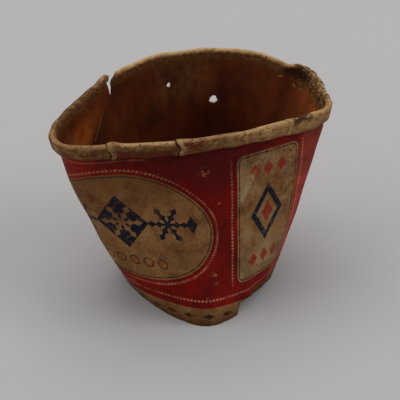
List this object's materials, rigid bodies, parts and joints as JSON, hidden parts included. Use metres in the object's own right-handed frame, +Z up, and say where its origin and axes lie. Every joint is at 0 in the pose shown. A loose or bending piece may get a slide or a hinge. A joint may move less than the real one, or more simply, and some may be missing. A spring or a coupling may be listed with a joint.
{
  "type": "ice cream tub",
  "caption": "Crushed paper ice cream tub: a tapered card wall with a lapped side seam, a rolled brim and a glued-in recessed base, torn and worn with age.",
  "frame": {"origin": "middle of the foot's outline, on the surface that the tub stands on", "axes": "+Z up through the mouth, +X along the crushed mouth's long way, -Y towards the printed front that the picture shows"},
  "size_m": [0.0751, 0.0641, 0.053],
  "materials": {
    "printed_card": "aged red print on waxed card, stained brown inside and along the brim",
    "plain_card": "bare aged brown card, matt"
  },
  "bodies": {
    "root": {"tub_wall": "printed_card", "base_panel": "plain_card"}
  },
  "joints": []
}
